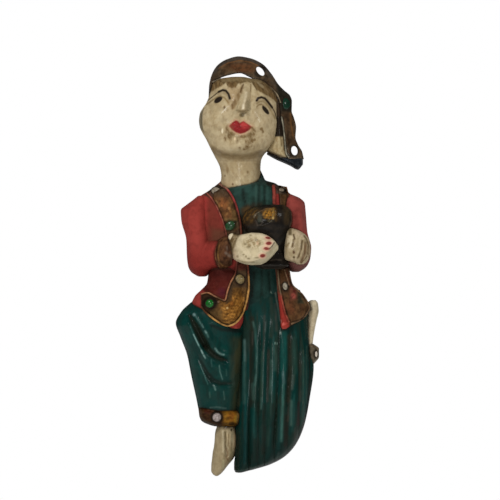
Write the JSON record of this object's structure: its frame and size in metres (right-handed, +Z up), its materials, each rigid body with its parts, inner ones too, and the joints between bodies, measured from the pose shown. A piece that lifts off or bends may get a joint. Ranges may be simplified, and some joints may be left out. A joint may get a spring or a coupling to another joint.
{
  "type": "papier-mache wall figure",
  "caption": "Painted flat-backed papier-mache figure of a folk musician in a jacket and pleated skirt, holding a small pot, hung on a wall as an ornament.",
  "frame": {"origin": "the point on the flat back, between the shoulders, where the figure is fixed to its wall", "axes": "+Z up along the figure's height, +X to the viewer's right, +Y out of the flat back into the wall, so the face looks along -Y"},
  "size_m": [0.1704, 0.0998, 0.4995],
  "materials": {
    "lacquered_papier_mache": "hand-painted in teal, red, brown, gold and cream under a glossy darkened lacquer",
    "white_glass": "polished, backed so that it looks opaque",
    "pale_glass": "polished, backed so that it looks opaque",
    "green_glass": "polished, backed so that it looks opaque"
  },
  "bodies": {
    "root": {"figure": "lacquered_papier_mache", "stone_headdress": "green_glass", "stone_shoulder_left": "white_glass", "stone_shoulder_right": "pale_glass", "stone_lapel_left": "green_glass", "stone_front_left": "pale_glass", "stone_hem_left": "green_glass", "stone_front_right": "white_glass", "stone_hem_right": "green_glass", "stone_leg_cuff": "white_glass", "stone_ankle_cuff": "white_glass"}
  },
  "joints": []
}
